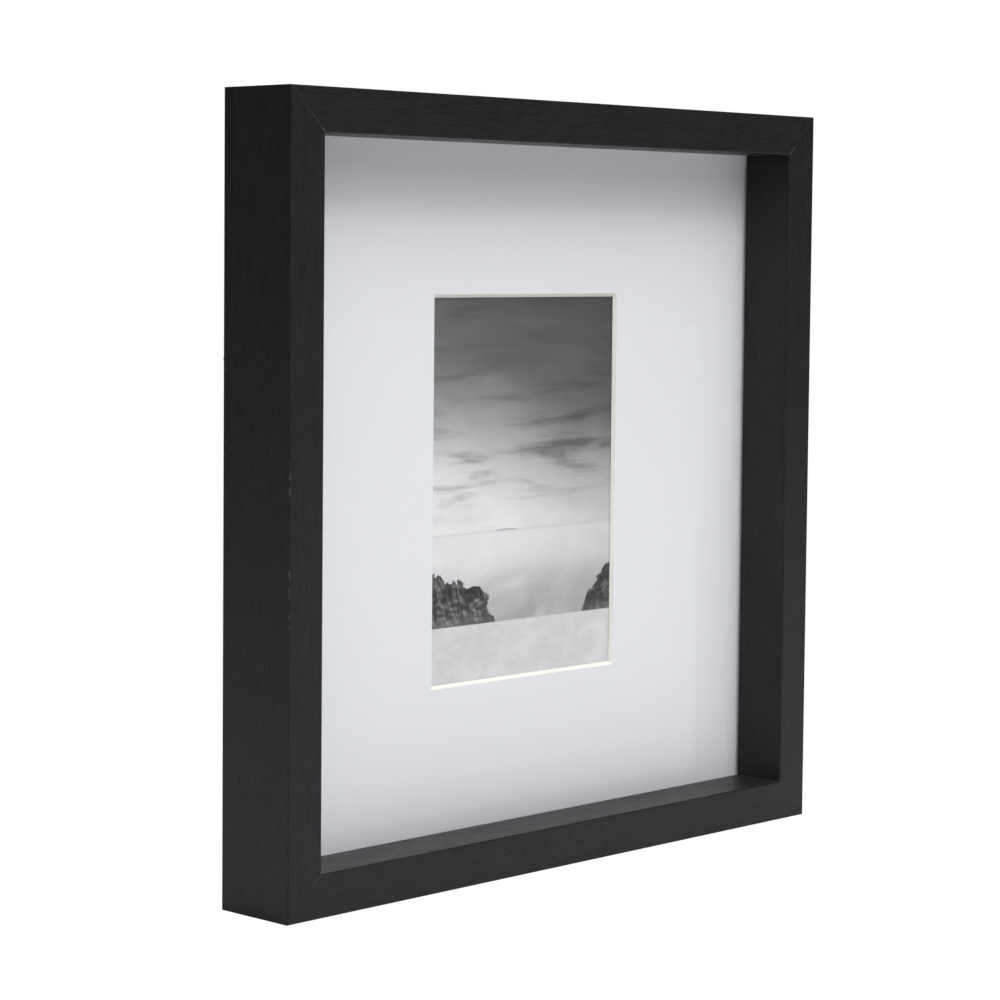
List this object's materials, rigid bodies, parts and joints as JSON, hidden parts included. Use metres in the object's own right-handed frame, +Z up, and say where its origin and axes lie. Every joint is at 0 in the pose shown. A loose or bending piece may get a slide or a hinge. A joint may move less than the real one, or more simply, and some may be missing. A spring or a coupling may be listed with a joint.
{
  "type": "shadow box",
  "caption": "Square deep-sided shadow box in black-stained wood: mitred rails round a deep open recess, glass, white mat with a bevelled portrait window, print, boards held by turn buttons.",
  "frame": {"origin": "middle of the underside, half way through the whole depth, on the surface the box stands on", "axes": "+X runs along the face to the viewer's right, -Y is the way the face looks, +Y points at the wall behind, +Z is up"},
  "size_m": [0.324, 0.0436, 0.324],
  "materials": {
    "black_wood": "satin black stain over fine straight grain",
    "clear_glass": "clear polished float glass",
    "white_mat": "matt white mat board with a cream core",
    "print_paper": "satin black and white print",
    "grey_board": "matt grey board",
    "hardboard": "matt brown hardboard",
    "nail_steel": "bright steel",
    "nickel_plate": "nickel-plated steel",
    "zinc_plate": "zinc-plated steel",
    "dark_rubber": "matt black rubber"
  },
  "bodies": {
    "frame": {"rail_bottom": "black_wood", "rail_left": "black_wood", "rail_top": "black_wood", "rail_right": "black_wood", "glass_pane": "clear_glass", "mat_board": "white_mat", "print_sheet": "print_paper", "filler_board": "grey_board", "backing_board": "hardboard", "v_nail_wall_bottom_left": "nail_steel", "v_nail_shoulder_bottom_left": "nail_steel", "v_nail_wall_top_left": "nail_steel", "v_nail_shoulder_top_left": "nail_steel", "v_nail_wall_top_right": "nail_steel", "v_nail_shoulder_top_right": "nail_steel", "v_nail_wall_bottom_right": "nail_steel", "v_nail_shoulder_bottom_right": "nail_steel", "turn_button_screw_bottom_1": "zinc_plate", "turn_button_screw_bottom_2": "zinc_plate", "turn_button_screw_left_1": "zinc_plate", "turn_button_screw_left_2": "zinc_plate", "turn_button_screw_top_1": "zinc_plate", "turn_button_screw_top_2": "zinc_plate", "turn_button_screw_right_1": "zinc_plate", "turn_button_screw_right_2": "zinc_plate", "strap_hanger_left": "nickel_plate", "strap_hanger_right": "nickel_plate", "strap_hanger_screw_left": "zinc_plate", "strap_hanger_screw_right": "zinc_plate", "wall_bumper_left": "dark_rubber", "wall_bumper_right": "dark_rubber"},
    "turn_button_bottom_1": {"turn_button_bottom_1": "nickel_plate"},
    "turn_button_bottom_2": {"turn_button_bottom_2": "nickel_plate"},
    "turn_button_left_1": {"turn_button_left_1": "nickel_plate"},
    "turn_button_left_2": {"turn_button_left_2": "nickel_plate"},
    "turn_button_top_1": {"turn_button_top_1": "nickel_plate"},
    "turn_button_top_2": {"turn_button_top_2": "nickel_plate"},
    "turn_button_right_1": {"turn_button_right_1": "nickel_plate"},
    "turn_button_right_2": {"turn_button_right_2": "nickel_plate"},
    "hanging_ring_left": {"hanging_ring_left": "nickel_plate"},
    "hanging_ring_right": {"hanging_ring_right": "nickel_plate"}
  },
  "joints": [
    {"name": "turn_button_bottom_1_pivot", "type": "hinge", "parent": "frame", "child": "turn_button_bottom_1", "pos_m": [-0.095, 0.01795, 0.0052], "axis": [0, 1, 0], "continuous": true},
    {"name": "turn_button_bottom_2_pivot", "type": "hinge", "parent": "frame", "child": "turn_button_bottom_2", "pos_m": [0.095, 0.01795, 0.0052], "axis": [0, 1, 0], "continuous": true},
    {"name": "turn_button_left_1_pivot", "type": "hinge", "parent": "frame", "child": "turn_button_left_1", "pos_m": [-0.1568, 0.01795, 0.257], "axis": [0, 1, 0], "continuous": true},
    {"name": "turn_button_left_2_pivot", "type": "hinge", "parent": "frame", "child": "turn_button_left_2", "pos_m": [-0.1568, 0.01795, 0.067], "axis": [0, 1, 0], "continuous": true},
    {"name": "turn_button_top_1_pivot", "type": "hinge", "parent": "frame", "child": "turn_button_top_1", "pos_m": [0.095, 0.01795, 0.3188], "axis": [0, 1, 0], "continuous": true},
    {"name": "turn_button_top_2_pivot", "type": "hinge", "parent": "frame", "child": "turn_button_top_2", "pos_m": [-0.095, 0.01795, 0.3188], "axis": [0, 1, 0], "continuous": true},
    {"name": "turn_button_right_1_pivot", "type": "hinge", "parent": "frame", "child": "turn_button_right_1", "pos_m": [0.1568, 0.01795, 0.067], "axis": [0, 1, 0], "continuous": true},
    {"name": "turn_button_right_2_pivot", "type": "hinge", "parent": "frame", "child": "turn_button_right_2", "pos_m": [0.1568, 0.01795, 0.257], "axis": [0, 1, 0], "continuous": true},
    {"name": "hanging_ring_left_swing", "type": "hinge", "parent": "frame", "child": "hanging_ring_left", "pos_m": [-0.1554, 0.01965, 0.218], "axis": [1, 0, 0], "range_deg": [0, 180]},
    {"name": "hanging_ring_right_swing", "type": "hinge", "parent": "frame", "child": "hanging_ring_right", "pos_m": [0.1554, 0.01965, 0.218], "axis": [1, 0, 0], "range_deg": [0, 180]}
  ]
}
